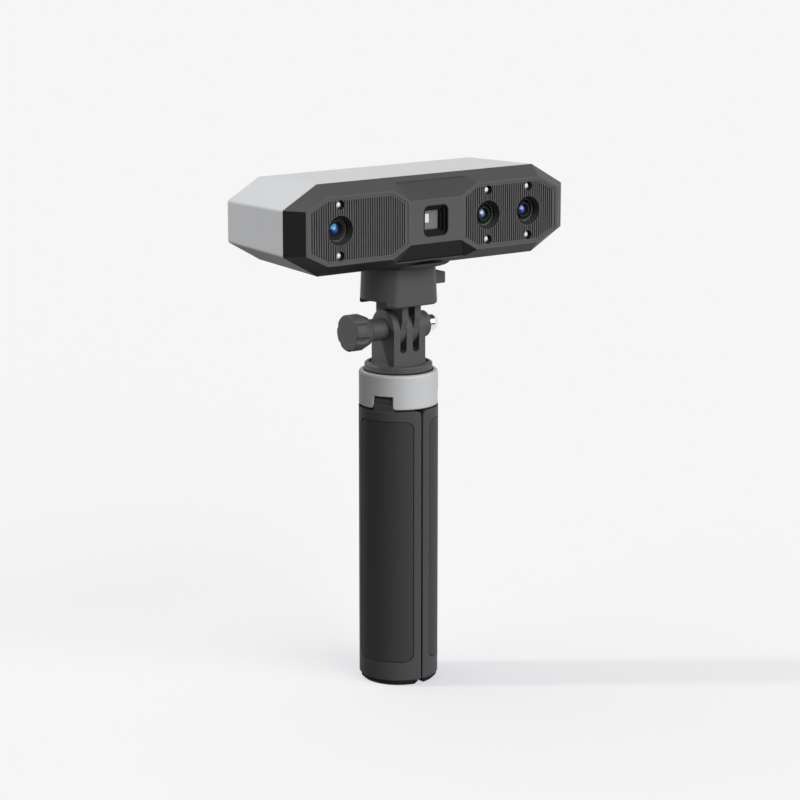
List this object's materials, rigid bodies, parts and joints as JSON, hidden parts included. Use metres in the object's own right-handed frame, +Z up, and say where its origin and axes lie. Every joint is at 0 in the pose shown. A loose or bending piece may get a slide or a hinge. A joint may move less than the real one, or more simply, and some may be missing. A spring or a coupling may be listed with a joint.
{
  "type": "three-d scanner",
  "caption": "Handheld structured-light scanner head with lenses and a projector in a bevelled bezel, on a quick-release adapter and tilt joint above a tripod folded into a handle.",
  "frame": {"origin": "on the floor under the handle's axis, midway across the head", "axes": "+Z up along the handle, lenses look along -Y, +X to the right seen from the front"},
  "size_m": [0.133, 0.0467, 0.205],
  "materials": {
    "shell_silver": "satin silver-grey",
    "bezel_dark": "satin dark grey",
    "rib_dark": "fine upright ribs",
    "lens_black": "black",
    "lens_glass": "coated glass",
    "led_white": "clear white",
    "window_glass": "polished",
    "window_black": "black",
    "frame_aluminium": "machined",
    "module_black": "black",
    "board_green": "solder mask",
    "screw_steel": "plated",
    "socket_steel": "plated",
    "light_clear": "clear",
    "button_dark": "satin",
    "insert_brass": "turned",
    "pad_dark": "matt",
    "adapter_dark": "fine texture",
    "knob_black": "fine texture",
    "nut_chrome": "polished",
    "collar_silver": "bead blasted",
    "tube_aluminium": "anodised",
    "leg_black": "satin black",
    "grip_black": "soft-touch black",
    "foot_rubber": "matt"
  },
  "bodies": {
    "collar": {"collar": "collar_silver", "pole_sleeve": "tube_aluminium", "hinge_pins": "screw_steel"},
    "front_left_leg": {"front_left_leg": "leg_black", "front_left_grip": "grip_black", "front_left_foot": "foot_rubber"},
    "front_right_leg": {"front_right_leg": "leg_black", "front_right_grip": "grip_black", "front_right_foot": "foot_rubber"},
    "rear_leg": {"rear_leg": "leg_black", "rear_grip": "grip_black", "rear_foot": "foot_rubber"},
    "pole": {"pole": "tube_aluminium", "tilt_base": "adapter_dark", "acorn_nut": "nut_chrome"},
    "clamp_knob": {"clamp_knob": "knob_black", "clamp_bolt": "screw_steel"},
    "release_button": {"release_button": "adapter_dark"},
    "capture_button": {"capture_button": "button_dark"},
    "plus_button": {"plus_button": "button_dark"},
    "minus_button": {"minus_button": "button_dark"},
    "head": {"adapter_drum": "adapter_dark", "board_screws": "screw_steel", "button_switches": "module_black", "case_screws": "screw_steel", "colour_camera": "module_black", "colour_lens_barrel": "lens_black", "colour_lens_glass": "lens_glass", "drum_cover": "adapter_dark", "fill_leds": "led_white", "front_bezel": "bezel_dark", "left_camera": "module_black", "left_led_board": "board_green", "left_lens_barrel": "lens_black", "left_lens_glass": "lens_glass", "left_rib_panel": "rib_dark", "light_pipe": "light_clear", "main_board": "board_green", "mount_plate": "pad_dark", "mount_screw": "screw_steel", "optical_frame": "frame_aluminium", "projector_frame": "window_black", "projector_module": "module_black", "projector_window": "window_glass", "rear_shell": "shell_silver", "release_spring": "screw_steel", "right_camera": "module_black", "right_led_board": "board_green", "right_lens_barrel": "lens_black", "right_lens_glass": "lens_glass", "right_rib_panel": "rib_dark", "tripod_insert": "insert_brass", "usb_socket": "socket_steel"}
  },
  "joints": [
    {"name": "front_left_leg_fold", "type": "hinge", "parent": "collar", "child": "front_left_leg", "pos_m": [-0.01091, -0.0063, 0.1152], "axis": [-0.5, 0.866, 0], "range_deg": [0, 60]},
    {"name": "front_right_leg_fold", "type": "hinge", "parent": "collar", "child": "front_right_leg", "pos_m": [0.01091, -0.0063, 0.1152], "axis": [-0.5, -0.866, 0], "range_deg": [0, 60]},
    {"name": "rear_leg_fold", "type": "hinge", "parent": "collar", "child": "rear_leg", "pos_m": [0, 0.0126, 0.1152], "axis": [1, 0, 0], "range_deg": [0, 60]},
    {"name": "pole_slide", "type": "slide", "parent": "collar", "child": "pole", "axis": [0, 0, 1], "range_m": [0, 0.07]},
    {"name": "head_tilt", "type": "hinge", "parent": "pole", "child": "head", "pos_m": [0, 0, 0.1428], "axis": [1, 0, 0], "range_deg": [-80, 80]},
    {"name": "knob_turn", "type": "hinge", "parent": "pole", "child": "clamp_knob", "pos_m": [0, 0, 0.1428], "axis": [1, 0, 0], "continuous": true},
    {"name": "release_press", "type": "slide", "parent": "head", "child": "release_button", "axis": [-1, 0, 0], "range_m": [0, 0.0025], "stiffness_N_per_m": 400, "springref_m": -0.003, "deforming": ["release_spring"]},
    {"name": "capture_press", "type": "slide", "parent": "head", "child": "capture_button", "axis": [0, -1, 0], "range_m": [0, 0.0006], "stiffness_N_per_m": 2500, "springref_m": -0.0002},
    {"name": "plus_press", "type": "slide", "parent": "head", "child": "plus_button", "axis": [0, -1, 0], "range_m": [0, 0.0006], "stiffness_N_per_m": 2500, "springref_m": -0.0002},
    {"name": "minus_press", "type": "slide", "parent": "head", "child": "minus_button", "axis": [0, -1, 0], "range_m": [0, 0.0006], "stiffness_N_per_m": 2500, "springref_m": -0.0002}
  ]
}
